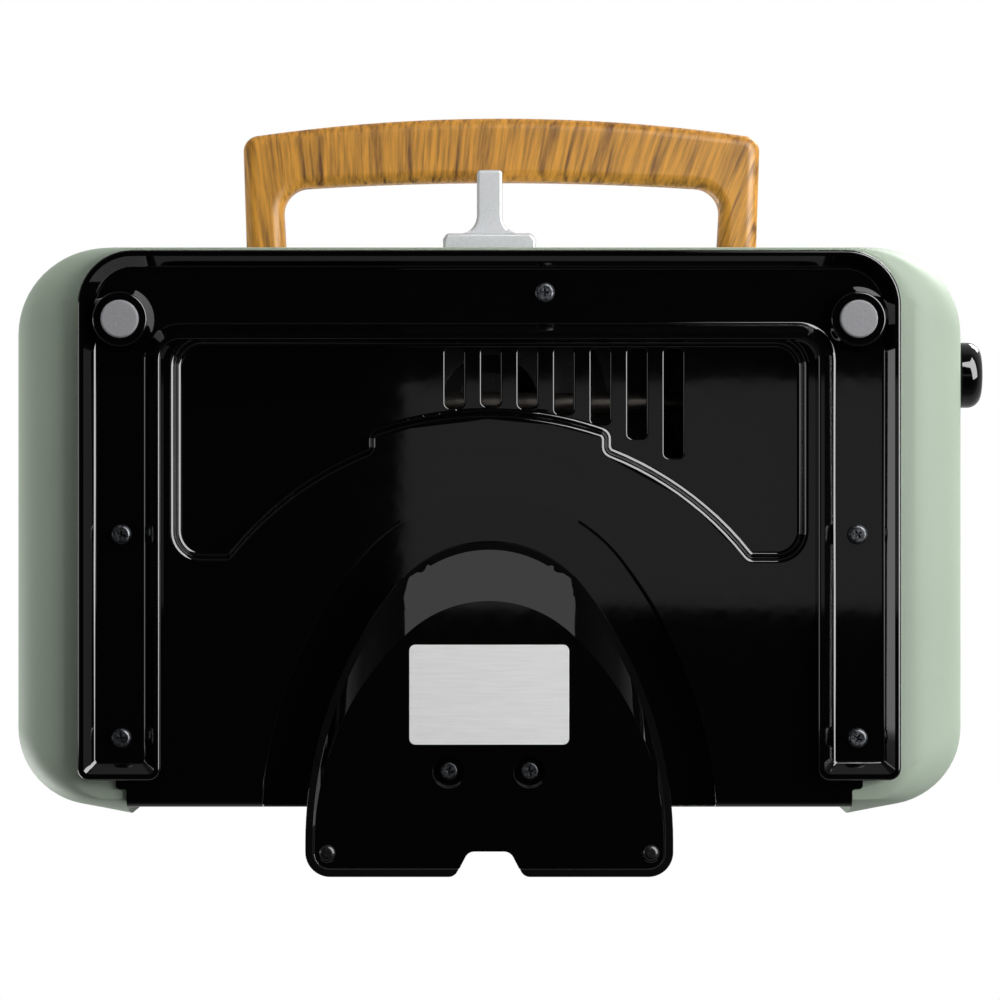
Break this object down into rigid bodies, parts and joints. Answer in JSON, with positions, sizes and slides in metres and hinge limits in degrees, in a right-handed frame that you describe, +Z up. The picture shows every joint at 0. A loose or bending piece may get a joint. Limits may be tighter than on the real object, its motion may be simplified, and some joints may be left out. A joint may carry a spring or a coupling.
{
  "type": "donut maker",
  "caption": "Table-top donut maker with a hinged lid, ring-mould plates, wood-look handle, squeeze latch and a half-round rear stand that also winds the cord.",
  "frame": {"origin": "on the floor under the middle of the overall box", "axes": "+Z up, -Y towards the front with the handle, +X towards the side with the knob"},
  "size_m": [0.298, 0.2345, 0.1018],
  "materials": {
    "gloss_black": "gloss",
    "mint_shell": "soft matte",
    "wood_look": "wood-grain print",
    "satin_silver": "satin",
    "steel": "zinc plated",
    "heater_sheath": "satin",
    "nonstick": "non-stick coated",
    "grey_rubber": "matte",
    "black_rubber": "matte",
    "phenolic": "matte",
    "red_lens": "gloss",
    "green_lens": "gloss",
    "lamp_glass": "gloss"
  },
  "bodies": {
    "base": {"base_pan": "gloss_black", "rear_stand": "gloss_black", "stand_screws": "steel", "base_screws": "steel", "front_feet": "grey_rubber", "stand_nubs": "black_rubber", "lower_housing": "mint_shell", "lower_plate": "nonstick", "lower_ring_moulds": "nonstick", "lower_plate_screws": "steel", "lower_heater": "heater_sheath", "limit_switch": "phenolic", "thermal_fuse": "steel", "terminal_block": "phenolic", "cord_gland": "black_rubber", "hinge_pin": "steel", "thermostat": "phenolic"},
    "lid": {"lid_shell": "mint_shell", "lid_hinge_panel": "gloss_black", "hinge_panel_screws": "steel", "upper_plate": "nonstick", "upper_ring_moulds": "nonstick", "upper_plate_screws": "steel", "upper_heater": "heater_sheath", "handle": "wood_look", "handle_screws": "steel", "latch_pin": "steel", "latch_spring": "steel", "power_lens": "red_lens", "ready_lens": "green_lens", "indicator_lamps": "lamp_glass"},
    "latch": {"latch_lever": "satin_silver"},
    "knob": {"control_knob": "gloss_black", "thermostat_shaft": "steel"}
  },
  "joints": [
    {"name": "lid_hinge", "type": "hinge", "parent": "base", "child": "lid", "pos_m": [-0.00365, 0.10645, 0.06], "axis": [-1, 0, 0], "range_deg": [0, 100]},
    {"name": "latch_pivot", "type": "hinge", "parent": "lid", "child": "latch", "pos_m": [-0.00365, -0.07635, 0.066], "axis": [-1, 0, 0], "range_deg": [0, 12], "stiffness_Nm_per_rad": 0.2},
    {"name": "knob_turn", "type": "hinge", "parent": "base", "child": "knob", "pos_m": [0.14215, -0.03525, 0.045], "axis": [1, 0, 0], "range_deg": [0, 270]}
  ]
}
